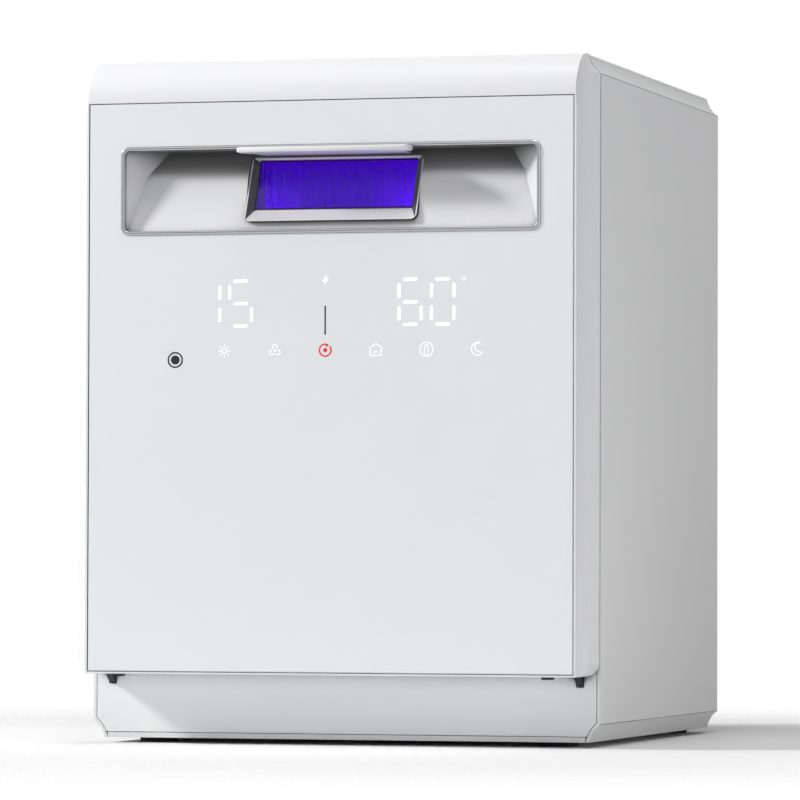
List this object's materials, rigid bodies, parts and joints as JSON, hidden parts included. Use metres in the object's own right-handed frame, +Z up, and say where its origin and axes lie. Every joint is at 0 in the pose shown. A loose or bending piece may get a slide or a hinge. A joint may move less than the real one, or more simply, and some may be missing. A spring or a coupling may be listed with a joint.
{
  "type": "baby bottle sterilizer",
  "caption": "Table-top ultraviolet bottle sterilizer and dryer: white cabinet, metal chamber with wire racks, and a drop-down glass door with a viewing window and touch display.",
  "frame": {"origin": "on the table under the middle of the whole object's box", "axes": "+X to the right seen from the front, +Y to the back, +Z up; the door faces -Y"},
  "size_m": [0.3, 0.355, 0.3905],
  "materials": {
    "white_shell": "satin white moulding",
    "white_plastic": "gloss white moulding",
    "matte_white": "fine matte white moulding",
    "grey_plastic": "matte grey moulding",
    "black_plastic": "matte black",
    "white_glass": "white back-painted glass, polished",
    "clear_pane": "clear, slightly violet",
    "chrome_trim": "bright",
    "bright_steel": "bright annealed sheet",
    "steel_wire": "polished wire",
    "screw_steel": "zinc plated",
    "black_metal": "black painted",
    "grey_silicone": "soft pale grey",
    "black_rubber": "matte black",
    "circuit_board": "solder-masked board",
    "light_module": "white, lit from inside",
    "filter_paper": "pleated paper",
    "dark_metal": "finned block"
  },
  "bodies": {
    "cabinet": {"left_side_panel": "white_shell", "right_side_panel": "white_shell", "top_cover": "white_shell", "base_tray": "matte_white", "base_front_panel": "white_plastic", "front_bezel": "white_plastic", "rear_cover": "white_shell", "chamber_liner": "bright_steel", "door_gasket": "grey_silicone", "upper_left_rail": "matte_white", "upper_right_rail": "matte_white", "lower_left_rail": "matte_white", "lower_right_rail": "matte_white", "drip_tray": "matte_white", "uv_lamp_housing": "grey_plastic", "uv_lamp_board": "circuit_board", "lamp_cover": "clear_pane", "ptc_heater": "dark_metal", "air_duct": "grey_plastic", "fan_housing": "black_plastic", "fan_motor": "black_plastic", "air_filter": "filter_paper", "filter_cover": "matte_white", "power_board": "circuit_board", "power_inlet": "black_plastic", "temperature_sensor": "screw_steel", "door_sensor": "black_plastic", "left_hinge_bracket": "black_metal", "right_hinge_bracket": "black_metal", "left_hinge_pin": "screw_steel", "right_hinge_pin": "screw_steel", "latch_magnets": "screw_steel", "front_left_foot": "black_rubber", "front_right_foot": "black_rubber", "rear_left_foot": "black_rubber", "rear_right_foot": "black_rubber", "foot_screws": "screw_steel", "rear_screws": "screw_steel"},
    "door": {"door_frame": "white_plastic", "door_glass": "white_glass", "handle_recess": "matte_white", "recess_trim": "chrome_trim", "handle_lip": "white_plastic", "window_frame": "grey_plastic", "window_pane": "clear_pane", "inner_pane": "clear_pane", "door_inner_panel": "matte_white", "display_board": "circuit_board", "digit_modules": "light_module", "light_guides": "light_module", "striker_plates": "screw_steel", "sensor_magnet": "screw_steel", "door_stop_pads": "black_rubber", "door_screws": "screw_steel"},
    "upper_rack": {"upper_rack": "steel_wire"},
    "lower_rack": {"lower_rack": "steel_wire", "bottle_pegs": "steel_wire"},
    "impeller": {"fan_impeller": "black_plastic"}
  },
  "joints": [
    {"name": "door_hinge", "type": "hinge", "parent": "cabinet", "child": "door", "pos_m": [0, -0.13695, 0.0462], "axis": [1, 0, 0], "range_deg": [0, 90]},
    {"name": "upper_rack_slide", "type": "slide", "parent": "cabinet", "child": "upper_rack", "axis": [0, -1, 0], "range_m": [0, 0.014]},
    {"name": "lower_rack_slide", "type": "slide", "parent": "cabinet", "child": "lower_rack", "axis": [0, -1, 0], "range_m": [0, 0.014]},
    {"name": "fan_spin", "type": "hinge", "parent": "cabinet", "child": "impeller", "pos_m": [0, 0.15105, 0.208], "axis": [0, 1, 0], "continuous": true}
  ]
}
